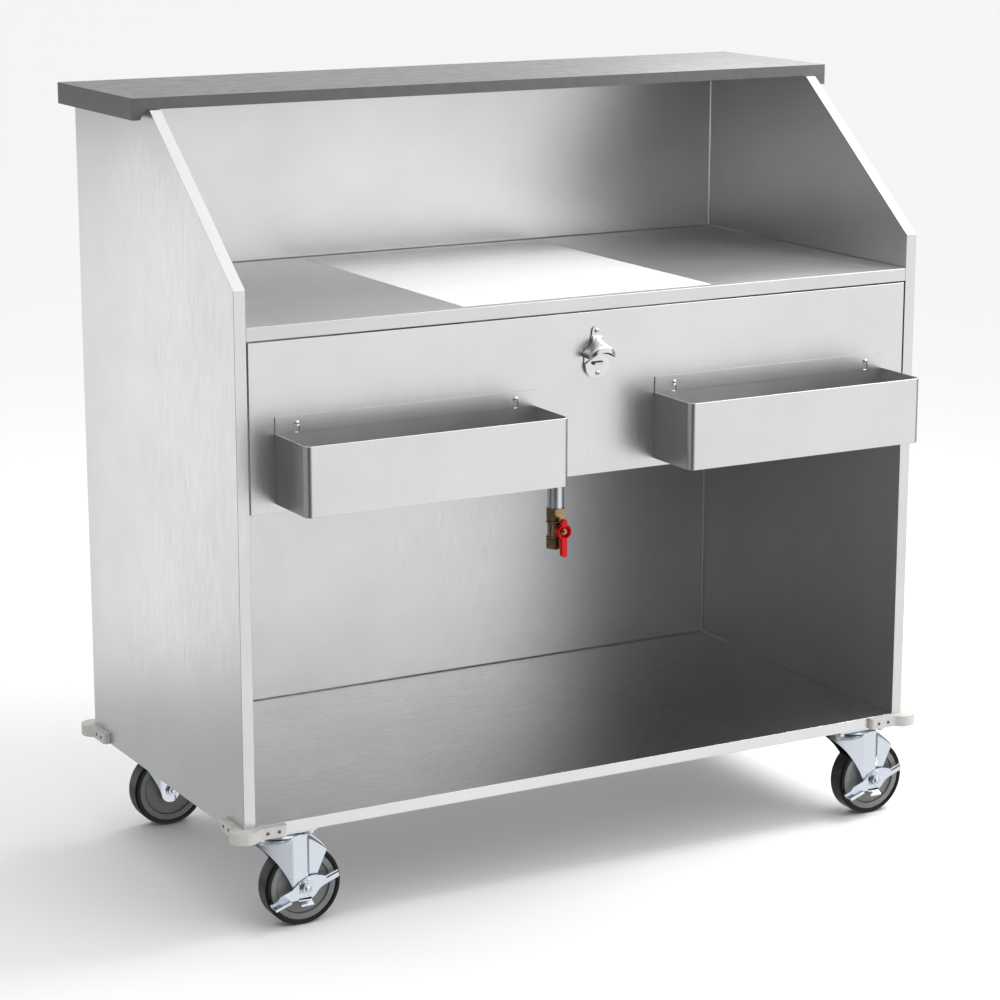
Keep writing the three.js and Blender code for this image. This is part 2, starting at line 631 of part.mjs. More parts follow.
function addIceBin(body) {
  const binUnder = BIN_FLOOR - BIN_SHEET;
  const insulationUnder = binUnder - GAP - INSULATION_T;
  const binTop = WORKTOP_TOP - WORKTOP_T - GAP;
  const casingHalfW = BIN_W / 2 + BIN_SHEET + INSULATION_T + CASING_T + 2 * GAP;
  const casingHalfL = BIN_L / 2 + BIN_SHEET + INSULATION_T + CASING_T + 2 * GAP;
  const casingUnder = insulationUnder - GAP - CASING_T;
  const casing = tubGeometry(casingHalfW, casingHalfL, binTop - casingUnder, CASING_T, PIPE_R + 1);
  addMesh(body, 'ice_bin_liner', linerGeometry(), brushedSteel, 0, BIN_MID_Y, binUnder);
  addMesh(body, 'ice_bin_insulation', insulationGeometry(insulationUnder, binTop), foam, 0, BIN_MID_Y);
  addMesh(body, 'ice_bin_casing', casing, brushedSteel, 0, BIN_MID_Y, casingUnder);
  const halfBoard = BOARD_W / 2;
  const board = box(-halfBoard, halfBoard, -BOARD_L / 2, BOARD_L / 2, -BOARD_T, 0);
  addMesh(body, 'cutting_board', board, boardWhite, 0, BOARD_MID_Y, WORKTOP_TOP);
  addMesh(body, 'drain_pipe', drainPipeGeometry(), pipeSteel, 0, DRAIN_Y);
  addMesh(body, 'drain_strainer', strainerGeometry(), brushedSteel, 0, DRAIN_Y, BIN_FLOOR + 2 + 2 * GAP);
  const locknut = cut(hexagonZ(38, -8, 0), cylinderZ(PIPE_R + GAP, -9, 1, 0, 0, LATHE_SIDES));
  addMesh(body, 'drain_locknut', locknut, pipeSteel, 0, DRAIN_Y, casingUnder - GAP);
}

function addValve(body) {
  const valve = new THREE.Group();
  valve.position.set(0, DRAIN_Y, BALL_Z);
  body.add(valve);
  addMesh(valve, 'valve_body', valveBodyGeometry(), brass);
  addMesh(valve, 'valve_end_nut', valveEndGeometry(), brass);
  addMesh(valve, 'valve_ball', valveBallGeometry(), pipeSteel);
  addMesh(valve, 'valve_stem', valveStemGeometry(), brass);
  addMesh(valve, 'valve_handle', valveHandleGeometry(), redEnamel);
  const nut = cut(hexagonY(9, -5, 0), cylinderY(2.6 + GAP, -6, 1, 0, 0, 12));
  addMesh(valve, 'valve_handle_nut', nut, brass, 0, HANDLE_Y - 0.9, 0);
}

function addFrontFittings(body) {
  for (const [side, sign] of [['left', -1], ['right', 1]]) {
    addMesh(body, `speed_rail_${side}`, railGeometry(), railSteel, sign * RAIL_X, 0, RAIL_BOTTOM);
    for (const [end, endSign] of [['outer', 1], ['inner', -1]]) {
      const x = sign * (RAIL_X + endSign * (RAIL_L / 2 - RAIL_SCREW_INSET));
      const screw = screwGeometry(SCREW_HEAD_R, SCREW_REACH);
      addMesh(body, `rail_screw_${side}_${end}`, screw, castZinc, x, -RAIL_SHEET - 2 * GAP, RAIL_SCREW_Z);
    }
  }
  const openerMid = (OPENER_SCREWS[0] + OPENER_SCREWS[1]) / 2;
  addMesh(body, 'bottle_opener', openerGeometry(), castZinc, 0, 0, openerMid);
  ['upper', 'lower'].forEach((place, i) => {
    const screw = screwGeometry(SCREW_HEAD_R, SCREW_REACH);
    addMesh(body, `opener_screw_${place}`, screw, castZinc, 0, -OPENER_PLATE_T - 2 * GAP, OPENER_SCREWS[i]);
  });
}

function addCorners(body) {
  const corners = [
    ['front_left', -1, 0, 0],
    ['front_right', 1, 0, Math.PI / 2],
    ['back_right', 1, BODY_D, Math.PI],
    ['back_left', -1, BODY_D, -Math.PI / 2],
  ];
  for (const [place, sideSign, y, turn] of corners) {
    const bumper = addMesh(body, `bumper_${place}`, bumperGeometry(), bumperGrey, sideSign * HALF_W, y, 0);
    bumper.rotation.z = turn;
    const casterX = sideSign * (HALF_W - CASTER_INSET_X);
    const casterY = y === 0 ? CASTER_INSET_Y : BODY_D - CASTER_INSET_Y;
    addCaster(body, `caster_${place}`, casterX, casterY, y === 0);
  }
}

const portableBar = new THREE.Group();
const body = new THREE.Group();
body.position.set(0, FRONT_Y, CASTER_H);
portableBar.add(body);
addBody(body);
addIceBin(body);
addValve(body);
addFrontFittings(body);
addCorners(body);

export default portableBar;
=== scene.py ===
"""Looks of the portable back bar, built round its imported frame. Metres, +Z up, front towards -Y."""

import json
import math

import bmesh
import bpy
from mathutils import Matrix, Vector
from mathutils.geometry import tessellate_polygon


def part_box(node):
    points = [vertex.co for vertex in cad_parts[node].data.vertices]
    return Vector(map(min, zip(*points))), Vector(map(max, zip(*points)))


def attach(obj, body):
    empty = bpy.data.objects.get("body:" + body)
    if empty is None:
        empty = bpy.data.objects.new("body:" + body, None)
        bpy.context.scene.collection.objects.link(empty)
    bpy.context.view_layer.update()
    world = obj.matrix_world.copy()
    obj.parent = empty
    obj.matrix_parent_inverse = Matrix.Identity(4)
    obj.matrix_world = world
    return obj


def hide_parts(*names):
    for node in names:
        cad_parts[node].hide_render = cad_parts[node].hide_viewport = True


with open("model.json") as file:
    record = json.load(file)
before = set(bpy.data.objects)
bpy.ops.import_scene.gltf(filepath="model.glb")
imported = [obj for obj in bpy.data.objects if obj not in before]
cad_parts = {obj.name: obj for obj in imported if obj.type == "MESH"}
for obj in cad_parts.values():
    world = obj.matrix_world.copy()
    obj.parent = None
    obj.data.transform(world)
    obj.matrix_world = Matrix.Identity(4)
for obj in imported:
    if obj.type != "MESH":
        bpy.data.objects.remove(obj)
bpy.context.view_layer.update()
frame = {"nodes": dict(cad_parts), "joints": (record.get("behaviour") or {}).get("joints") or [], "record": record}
nodes = frame["nodes"]
pivots = {joint["name"]: Vector(joint["pos_m"]) for joint in frame["joints"] if "pos_m" in joint}
MM = 0.001
CORNERS = ("front_left", "front_right", "back_right", "back_left")
BRAKED = ("front_left", "front_right")


# ---- Materials ----
def new_material(name):
    """A material with its shader, its node tree and a coordinate node."""
    made = bpy.data.materials.new(name)
    made.use_nodes = True
    tree = made.node_tree
    shader = tree.nodes["Principled BSDF"]
    place = tree.nodes.new("ShaderNodeTexCoord")
    return made, tree, shader, place


def noise_of(tree, place, scale, stretch=(1, 1, 1), detail=4, roughness=0.55):
    """Noise in object coordinates, drawn out along the axes by stretch."""
    mapping = tree.nodes.new("ShaderNodeMapping")
    mapping.inputs["Scale"].default_value = stretch
    tree.links.new(place.outputs["Object"], mapping.inputs["Vector"])
    noise = tree.nodes.new("ShaderNodeTexNoise")
    noise.inputs["Scale"].default_value = scale
    noise.inputs["Detail"].default_value = detail
    noise.inputs["Roughness"].default_value = roughness
    tree.links.new(mapping.outputs["Vector"], noise.inputs["Vector"])
    return noise.outputs["Fac"]


def spread(tree, value, low, high):
    """value from 0.3..0.7 to low..high."""
    ramp = tree.nodes.new("ShaderNodeMapRange")
    ramp.inputs["From Min"].default_value = 0.3
    ramp.inputs["From Max"].default_value = 0.7
    ramp.inputs["To Min"].default_value = low
    ramp.inputs["To Max"].default_value = high
    tree.links.new(value, ramp.inputs["Value"])
    return ramp.outputs["Result"]


def tint(tree, value, dark, light):
    """A colour between dark and light, by value."""
    ramp = tree.nodes.new("ShaderNodeValToRGB")
    ramp.color_ramp.elements[0].position = 0.3
    ramp.color_ramp.elements[0].color = (*dark, 1)
    ramp.color_ramp.elements[1].position = 0.7
    ramp.color_ramp.elements[1].color = (*light, 1)
    tree.links.new(value, ramp.inputs["Fac"])
    return ramp.outputs["Color"]


def bump(tree, shader, height, strength, distance):
    """Relief in the shader's normal, distance in metres."""
    node = tree.nodes.new("ShaderNodeBump")
    node.inputs["Strength"].default_value = strength
    node.inputs["Distance"].default_value = distance
    tree.links.new(height, node.inputs["Height"])
    tree.links.new(node.outputs["Normal"], shader.inputs["Normal"])


def brushed_metal(name, grain, dark, light, rough=(0.28, 0.38), depth=0.000012):
    """Brushed sheet: hair lines along the axis where grain is small, over a faint mottle."""
    made, tree, shader, place = new_material(name)
    shader.inputs["Metallic"].default_value = 1.0
    lines = noise_of(tree, place, 900, grain, detail=3)
    mottle = noise_of(tree, place, 6, detail=3)
    tree.links.new(tint(tree, mottle, dark, light), shader.inputs["Base Color"])
    tree.links.new(spread(tree, lines, *rough), shader.inputs["Roughness"])
    bump(tree, shader, lines, 0.35, depth)
    return made


def moulded(name, dark, light, rough, grain_scale, grain_depth, metallic=0.0):
    """Moulded or cast surface: fine grain, small colour and gloss variation."""
    made, tree, shader, place = new_material(name)
    shader.inputs["Metallic"].default_value = metallic
    mottle = noise_of(tree, place, 45, detail=5)
    grain = noise_of(tree, place, grain_scale, detail=2)
    tree.links.new(tint(tree, mottle, dark, light), shader.inputs["Base Color"])
    tree.links.new(spread(tree, mottle, *rough), shader.inputs["Roughness"])
    bump(tree, shader, grain, 0.4, grain_depth)
    return made


UPRIGHT_GRAIN = (1, 1, 0.03)
LEVEL_GRAIN = (0.03, 1, 1)
steel_upright = brushed_metal("steel_upright", UPRIGHT_GRAIN, (0.70, 0.705, 0.71), (0.755, 0.76, 0.765))
steel_level = brushed_metal("steel_level", LEVEL_GRAIN, (0.72, 0.725, 0.73), (0.78, 0.785, 0.79),
                            (0.4, 0.5))
deck_steel = brushed_metal("deck_steel", LEVEL_GRAIN, (0.74, 0.745, 0.75), (0.79, 0.795, 0.80),
                           (0.25, 0.33))
rail_steel = brushed_metal("rail_steel", UPRIGHT_GRAIN, (0.70, 0.70, 0.705), (0.75, 0.75, 0.755))
laminate = moulded("laminate", (0.092, 0.092, 0.090), (0.110, 0.110, 0.107),
                   (0.32, 0.44), 2600, 0.00003)
board_white = moulded("board_white", (0.90, 0.92, 0.915), (0.94, 0.955, 0.95),
                      (0.36, 0.5), 1800, 0.00004)
foam = moulded("foam", (0.76, 0.70, 0.54), (0.84, 0.78, 0.62), (0.85, 0.95), 900, 0.0002)
pipe_plated = moulded("pipe_plated", (0.70, 0.73, 0.75), (0.82, 0.85, 0.87),
                      (0.28, 0.40), 700, 0.00002, 1.0)
brass = moulded("brass", (0.33, 0.22, 0.11), (0.50, 0.36, 0.20), (0.2, 0.34), 1400, 0.00005, 1.0)
red_enamel = moulded("red_enamel", (0.70, 0.001, 0.003), (0.82, 0.003, 0.005),
                     (0.22, 0.34), 700, 0.00003)
chrome = moulded("chrome", (0.66, 0.67, 0.68), (0.74, 0.75, 0.76), (0.10, 0.2), 500, 0.00002, 1.0)
# painted shade: the bumper screw heads are coloured near-black to stand for the shade in their sunken seats
screw_painted_shade = moulded("screw_painted_shade", (0.16, 0.155, 0.15), (0.22, 0.215, 0.21),
                     (0.3, 0.42), 1500, 0.00002, 1.0)
screw_steel = moulded("screw_steel", (0.66, 0.67, 0.68), (0.76, 0.77, 0.78),
                      (0.2, 0.3), 1500, 0.00002, 1.0)
zinc = moulded("zinc", (0.64, 0.685, 0.75), (0.72, 0.765, 0.83), (0.2, 0.32), 500, 0.00001, 1.0)
rubber = moulded("rubber", (0.003, 0.003, 0.0033), (0.005, 0.005, 0.0055),
                 (0.2, 0.3), 1500, 0.00004)
hub_grey = moulded("hub_grey", (0.18, 0.185, 0.185), (0.22, 0.225, 0.225),
                   (0.42, 0.55), 1500, 0.00005)
bumper_grey = moulded("bumper_grey", (0.56, 0.55, 0.525), (0.62, 0.61, 0.585),
                      (0.45, 0.6), 1600, 0.00006)

for duller in (rubber, red_enamel):
    duller.node_tree.nodes["Principled BSDF"].inputs["Specular IOR Level"].default_value = 0.25

FINISHES = {
    "brushed_stainless": steel_upright,
    "rail_stainless": rail_steel,
    "counter_laminate": laminate,
    "board_plastic": board_white,
    "insulation_foam": foam,
    "plated_pipe": pipe_plated,
    "valve_brass": brass,
    "red_enamel": red_enamel,
    "cast_chrome": chrome,
    "screw_steel": screw_steel,
    "bright_zinc": zinc,
    "tyre_rubber": rubber,
    "hub_plastic": hub_grey,
    "bumper_plastic": bumper_grey,
}


def finish_node(name, material, edge=0.0006, segments=2):
    """A carried-over CAD node gets its procedural finish and softly rounded edges."""
    node = nodes[name]
    node.data.materials.clear()
    node.data.materials.append(material)
    weld = node.modifiers.new("weld", "WELD")
    weld.merge_threshold = 0.00001
    bevel = node.modifiers.new("edges", "BEVEL")
    bevel.width = edge
    bevel.segments = segments
    bevel.limit_method = "ANGLE"
    bevel.angle_limit = math.radians(35)
    bevel.harden_normals = True


for part in frame["record"]["subparts"]:
    finish_node(part["node"], FINISHES[part["material_slot"]])
# the sheets that lie level are brushed along X
nodes["worktop"].data.materials[0] = steel_level
nodes["bottom_deck"].data.materials[0] = deck_steel


# ---- Mesh helpers: outlines and sections are in millimetres, pieces come out in metres ----
ALONG_X = Matrix(((0, 0, 1, 0), (1, 0, 0, 0), (0, 1, 0, 0), (0, 0, 0, 1)))  # outline in Y and Z
ALONG_Y = Matrix(((1, 0, 0, 0), (0, 0, 1, 0), (0, 1, 0, 0), (0, 0, 0, 1)))  # outline in X and Z
ALONG_Z = Matrix.Identity(4)  # outline in X and Y


def smooth(t):
    """0 to 1 with no corner at either end."""
    t = min(max(t, 0), 1)
    return t * t * (3 - 2 * t)


def arc(centre_u, centre_v, radius, start, end, steps):
    """Points of an arc, its angles in degrees, both ends included."""
    turn = [math.radians(start + (end - start) * i / steps) for i in range(steps + 1)]
    return [(centre_u + radius * math.cos(a), centre_v + radius * math.sin(a)) for a in turn]


def circle(centre_u, centre_v, radius, steps=24):
    """Points of a circle, none of them twice."""
    return arc(centre_u, centre_v, radius, 0, 360 * (steps - 1) / steps, steps - 1)


def quad_at(start, control, end, t):
    """A quadratic curve's coordinate at t, 0 to 1."""
    return (1 - t) ** 2 * start + 2 * t * (1 - t) * control + t * t * end


def quad(start, control, end, steps):
    """Points of a quadratic curve, without its first point."""
    points = []
    for i in range(1, steps + 1):
        t = i / steps
        points.append(tuple(quad_at(start[k], control[k], end[k], t) for k in (0, 1)))
    return points


def rounded(corners, radius, steps=4):
    """An outline whose corners are rounded; radius is one number or one for each corner."""
    radii = radius if isinstance(radius, (list, tuple)) else [radius] * len(corners)
    points = []
    for i, r in enumerate(radii):
        here = Vector(corners[i])
        before = Vector(corners[i - 1]) - here
        after = Vector(corners[(i + 1) % len(corners)]) - here
        if r <= 0:
            points.append(tuple(here))
            continue
        half = before.angle(after) / 2
        reach = min(r / math.tan(half), before.length * 0.49, after.length * 0.49)
        start = here + before.normalized() * reach
        end = here + after.normalized() * reach
        points.append(tuple(start))
        points.extend(quad(tuple(start), tuple(here), tuple(end), steps))
    return points


def rectangle(u0, u1, v0, v1, radius=0.0, steps=4):
    """An upright rectangle's outline, its corners rounded if a radius is given."""
    return rounded([(u0, v0), (u1, v0), (u1, v1), (u0, v1)], radius, steps)


def plate(loops, low, high, facing=ALONG_Z):
    """A closed plate from an outline and any holes in it, between two heights along its normal."""
    bm = bmesh.new()
    flat = [point for loop in loops for point in loop]
    triangles = tessellate_polygon([[Vector((u, v, 0)) for u, v in loop] for loop in loops])
    layers = [[bm.verts.new((u, v, w)) for u, v in flat] for w in (low, high)]
    for a, b, c in triangles:
        bm.faces.new((layers[0][a], layers[0][b], layers[0][c]))
        bm.faces.new((layers[1][c], layers[1][b], layers[1][a]))
    first = 0
    for loop in loops:
        count = len(loop)
        for i in range(count):
            a, b = first + i, first + (i + 1) % count
            bm.faces.new((layers[0][a], layers[0][b], layers[1][b], layers[1][a]))
        first += count
    bm.transform(facing)
    bmesh.ops.recalc_face_normals(bm, faces=bm.faces)
    return bm


def turned(profile, sides=48, facing=ALONG_Z):
    """A solid of revolution about its own normal, from (radius, height) points; a radius of 0 is a pole."""
    bm = bmesh.new()
    rings = []
    for radius, height in profile:
        if radius == 0:
            rings.append([bm.verts.new((0, 0, height))] * sides)
        else:
            rings.append([bm.verts.new((u, v, height)) for u, v in circle(0, 0, radius, sides)])
    closed = profile[0][0] != 0
    pairs = list(zip(rings, rings[1:])) + ([(rings[-1], rings[0])] if closed else [])
    for low, high in pairs:
        for i in range(sides):
            j = (i + 1) % sides
            corners = list(dict.fromkeys((low[i], low[j], high[j], high[i])))
            if len(corners) > 2:
                bm.faces.new(corners)
    bm.transform(facing)
    bmesh.ops.recalc_face_normals(bm, faces=bm.faces)
    return bm


def lofted(loops):
    """A closed skin through loops of 3-D points that all have the same count."""
    bm = bmesh.new()
    rings = [[bm.verts.new(point) for point in loop] for loop in loops]
    for low, high in zip(rings, rings[1:]):
        for i in range(len(low)):
            j = (i + 1) % len(low)
            bm.faces.new((low[i], low[j], high[j], high[i]))
    bm.faces.new(rings[0][::-1])
    bm.faces.new(rings[-1])
    bmesh.ops.recalc_face_normals(bm, faces=bm.faces)
    return bm


def joined(*parts):
    """Several meshes as one; each part may be a mesh or a (mesh, matrix) pair."""
    total = bmesh.new()
    for part in parts:
        bm, matrix = part if isinstance(part, tuple) else (part, Matrix.Identity(4))
        bm.transform(matrix)
        mesh = bpy.data.meshes.new("part")
        bm.to_mesh(mesh)
        bm.free()
        total.from_mesh(mesh)
        bpy.data.meshes.remove(mesh)
    return total


def soften(bm, edge, segments=2, angle=40):
    """Rounds the sharp edges of a mesh, in millimetres."""
    limit = math.radians(angle)
    sharp = [e for e in bm.edges if len(e.link_faces) == 2 and e.calc_face_angle() > limit]
    bmesh.ops.bevel(bm, geom=sharp, offset=edge, segments=segments, affect="EDGES", clamp_overlap=True)
    return bm


def add_piece(name, bm, place, finish, slot, body, replaced=(), sharp=32, modifiers=()):
    """Links a mesh at its place in metres, gives it its finish, and lets it ride on its body.

    Edges sharper than sharp degrees stay sharp. replaced names the CAD nodes that the piece stands for.
    """
    bmesh.ops.remove_doubles(bm, verts=bm.verts, dist=1e-5)
    bm.transform(Matrix.Scale(MM, 4))
    for face in bm.faces:
        face.smooth = True
    for edge in bm.edges:
        edge.smooth = len(edge.link_faces) != 2 or edge.calc_face_angle() < math.radians(sharp)
    mesh = bpy.data.meshes.new(name)
    bm.to_mesh(mesh)
    bm.free()
    mesh.materials.append(finish)
    piece = bpy.data.objects.new(name, mesh)
    piece.location = place
    bpy.context.scene.collection.objects.link(piece)
    for kind, settings in modifiers:
        modifier = piece.modifiers.new(kind.lower(), kind)
        for key, value in settings.items():
            setattr(modifier, key, value)
    weighted = piece.modifiers.new("normals", "WEIGHTED_NORMAL")
    weighted.keep_sharp = True
    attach(piece, body)
    if replaced:
        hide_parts(*replaced)
    return piece


def spin(degrees, axis="Z"):
    """A turn about an axis."""
    return Matrix.Rotation(math.radians(degrees), 4, axis)


def move(x=0.0, y=0.0, z=0.0):
    """A shift in millimetres."""
    return Matrix.Translation((x, y, z))


def hexagon(across_flats, low, high, chamfer=0.8, facing=ALONG_Z, bore=0.0):
    """A nut or bolt head: a six-sided prism with softened edges, with a bore if one is given."""
    corner = across_flats / math.sqrt(3)
    loops = [arc(0, 0, corner, 0, 300, 5)]
    if bore:
        loops.append(circle(0, 0, bore, 24))
    return soften(plate(loops, low, high, facing), chamfer, 2)


# ---- Casters: X from the swivel axis towards the wheel, Z up from the underside of the deck ----
CROWN_LEVEL = -13.6  # middle of the pressed crown's sheet
CROWN_END = 38.5
CROWN_RADIUS = 38.0
SHOULDER = -24.0  # the legs turn in to the crown above this level
FORK_SHEET = 3.0
LEG_MIDDLE = 20.5  # middle plane to the middle of a leg's sheet
LEG_LEAN = 0.16  # slope of the fold ahead of the flat
SKIRT_STEP = 2.6  # the skirt behind the crown lies this much further in
FLAT_FROM = 16.0  # the legs are flat behind here and curve in ahead of it
NOSE = -46.0
NOSE_CURVE = ((NOSE, -20), (-8, -46), (14, -97))  # a leg's lower edge ahead of the boss
BOSS = (33.0, -103.5, 17.0)  # place and radius of the leg's round end
SKIRT_LOW = (56.0, -84.0)  # corner of the skirt's lower edge
LEG_TIP = (73.5, -46.0)  # the skirt's rear corner
PLATE_BOLTS = (41.0, 28.5)  # from the swivel axis, both ways


def fork_low_edge(x):
    """Height of a fork leg's lower edge: a curve from the nose, the round boss, and the rear edge."""
    boss_x, boss_z, boss_r = BOSS
    curve_x, curve_z = zip(*NOSE_CURVE)
    if x <= curve_x[-1]:
        low, high = 0.0, 1.0
        for _ in range(30):
            t = (low + high) / 2
            if quad_at(*curve_x, t) < x:
                low = t
            else:
                high = t
        return quad_at(*curve_z, t)
    if boss_x - boss_r < x <= boss_x + boss_r:
        return boss_z - math.sqrt(max(boss_r**2 - (x - boss_x) ** 2, 0))
    ends = [(curve_x[-1], curve_z[-1]), (boss_x - boss_r, boss_z)]
    if x > SKIRT_LOW[0]:
        ends = [SKIRT_LOW, LEG_TIP]
    elif x > boss_x:
        ends = [(boss_x + boss_r, boss_z), SKIRT_LOW]
    (x0, z0), (x1, z1) = ends
    return z0 + (x - x0) / (x1 - x0) * (z1 - z0)


def fork_section(x, leg_rows=9, shoulder_rows=6, crown_rows=5):
    """Half of the fork's sheet across the wheel at x: up the leg, round the shoulder, in over the crown."""
    ahead = max(FLAT_FROM - x, 0)
    reach = min(ahead / (FLAT_FROM - NOSE + 2), 1)
    lean = LEG_LEAN * ahead * (1 - reach)
    leg_y = LEG_MIDDLE * math.sqrt(1 - reach**2) - lean - SKIRT_STEP * smooth((x - CROWN_END) / 5)
    low = fork_low_edge(x)
    behind = min(max(x - CROWN_END, 0) / (LEG_TIP[0] - CROWN_END), 1)
    shoulder = max(SHOULDER + behind * (LEG_TIP[1] - SHOULDER), low)
    points = [(leg_y, low + (shoulder - low) * i / leg_rows) for i in range(leg_rows + 1)]
    if behind:
        rise = (CROWN_LEVEL - SHOULDER) * math.sqrt(1 - behind * behind)
        rows = shoulder_rows + crown_rows
        turns = [math.pi / 2 * i / rows for i in range(1, rows + 1)]
        return points + [(leg_y * math.cos(a), shoulder + rise * math.sin(a)) for a in turns]
    rim = math.sqrt(max(CROWN_RADIUS**2 - x * x, 0))
    flare = max(min(rim, CROWN_RADIUS - 2) - leg_y, 0) * smooth(ahead / 22)
    rise = CROWN_LEVEL - shoulder
    for i in range(1, shoulder_rows + 1):
        t = i / shoulder_rows
        out = flare * math.sin(math.pi * min(t * 1.25, 1) / 2) ** 2
        turn_in = 2.5 * max(t - 0.6, 0) / 0.4
        points.append((leg_y + out - turn_in, shoulder + rise * math.sin(math.pi * t / 2)))
    edge = points[-1][0]
    points += [(edge * (1 - i / crown_rows), CROWN_LEVEL) for i in range(1, crown_rows + 1)]
    return points


def fork_mesh():
    """The pressed fork as one folded sheet, thickened by its modifier."""
    last = LEG_TIP[0] - 0.3
    steps = [(NOSE, FLAT_FROM, 26), (FLAT_FROM, CROWN_END, 14), (CROWN_END, last, 18)]
    columns = [a + (b - a) * i / n for a, b, n in steps for i in range(n)] + [last]
    bm = bmesh.new()
    for side in (-1, 1):
        before = None
        for x in columns:
            row = [bm.verts.new((x, side * y, z)) for y, z in fork_section(x)]
            if before:
                for i in range(min(len(row), len(before)) - 1):
                    corners = (before[i], before[i + 1], row[i + 1], row[i])
                    bm.faces.new(corners if side < 0 else corners[::-1])
            before = row
    bmesh.ops.remove_doubles(bm, verts=bm.verts, dist=0.02)
    bmesh.ops.recalc_face_normals(bm, faces=bm.faces)
    return bm


def caster_plate_mesh():
    """Top plate with rounded corners and four slots."""
    half_l, half_w, thick, gap = 52.5, 39.5, 3.0, 0.3
    bolt_x, bolt_y = PLATE_BOLTS
    slots = [
        [(u + x, v + y) for u, v in rectangle(-7.5, 7.5, -4.6, 4.6, 4.5)]
        for x in (-bolt_x, bolt_x) for y in (-bolt_y, bolt_y)
    ]
    outline = rectangle(-half_l, half_l, -half_w, half_w, 7)
    return soften(plate([outline, *slots], -thick - gap, -gap), 0.4)


def caster_bolt_mesh():
    """A plate bolt from below: washer, hexagon and the bolt's end."""
    washer = turned([(0, -4.9), (8.2, -4.9), (8.6, -4.6), (8.6, -3.7), (8.2, -3.4), (0, -3.4)], 28)
    head = hexagon(13, -9.6, -4.9, 0.7)
    stem = turned([(0, -11.4), (3.4, -11.4), (3.9, -10.9), (3.9, -9.0), (0, -9.0)], 20)
    return joined(washer, head, stem)


def kingpin_mesh():
    """Ball race cup under the plate, with its rolled lip, the pin and its nut."""
    return turned([
        (0, -3.6), (26, -3.6), (29.5, -4.2), (32.5, -5.6), (34.6, -7.6), (35.8, -9.6), (36.2, -10.6),
        (35.7, -11.3), (34.6, -11.4), (7, -11.4), (6.2, -12), (6.2, -15.2), (9.4, -15.2), (10, -15.8),
        (10, -18.9), (9.4, -19.5), (0, -19.5),
    ], 64)


def tyre_mesh():
    """Solid tyre with a faintly crowned tread, round shoulders and a step down to the hub."""
    side = [(55.0, 14.9), (56.4, 15.6), (57.6, 15.9), (59.3, 16.0)]
    shoulder = arc(59.6, 12.2, 3.8, 86, 6, 6)
    half = side + [(r, y) for r, y in shoulder] + [(63.47, 7.5), (63.5, 0)]
    return turned([(r, -y) for r, y in half[:-1]] + half[::-1], 112, ALONG_Y)


def hub_mesh():
    """Moulded hub: a flat rim ring, a fine groove, a dished web and the axle boss."""
    half = [
        (5.3, 17.0), (9.2, 17.0), (9.6, 16.6), (9.6, 15.2), (13.6, 15.0), (14.4, 14.4), (15.6, 11.6),
        (18, 10.7), (30, 10.3), (40.5, 11.2), (42.8, 12.3), (43.5, 12.4), (43.7, 10.6), (44.9, 10.6),
        (45.2, 14.9), (45.8, 15.4), (53.9, 15.5), (54.6, 14.9),
    ]
    return turned([(r, -y) for r, y in half] + half[::-1], 112, ALONG_Y)


def axle_mesh(lever):
    """Axle bolt with its head at the back and a washer, nut and rounded bolt end at the front."""
    front = -22.0 - (3.9 if lever else 0.3)
    shank = turned([
        (0, front - 9.2), (3.2, front - 9.0), (4.6, front - 8.0), (5, front - 7.2), (5, 24), (0, 24),
    ], 28, ALONG_Y)
    washer = turned([
        (5.1, front - 1.4), (10.6, front - 1.4), (11, front - 1.1), (11, front - 0.2), (5.1, front),
    ], 40, ALONG_Y)
    nut = hexagon(16, front - 6.6, front - 1.4, 0.9, ALONG_Y, 4.9)
    head = hexagon(16, 22.4, 28.4, 0.9, ALONG_Y)
    return joined(shank, washer, nut, head)


PEDAL_TILT = 18.9  # degrees that the right arm is raised when the brake is off
PEDAL_FACE = 22.4  # middle plane to the pedal's inner face


def pedal_outline():
    """The pedal's plate seen from its side, its arms level."""
    outline = quad((0, -21), (11, -20), (16, -15), 5)
    outline += quad((16, -15), (22, -11), (31, -10.8), 5)
    outline += [(54, -10), *quad((55, -10), (57, -9.6), (57, -7.5), 3), (57.5, 1.5), (35, 1.8)]
    outline += quad((35, 1.8), (24, 13), (8, 14), 8)
    outline += quad((8, 14), (-10, 12), (-22, 6.8), 7)
    outline += [(-44, 6.2), (-50, 2.2), (-61.5, 1.8), (-63, 0.6), (-63, -3.5), (-33, -3.5), (-30, -10)]
    return outline + quad((-30, -10), (-15, -14), (0, -21), 7)


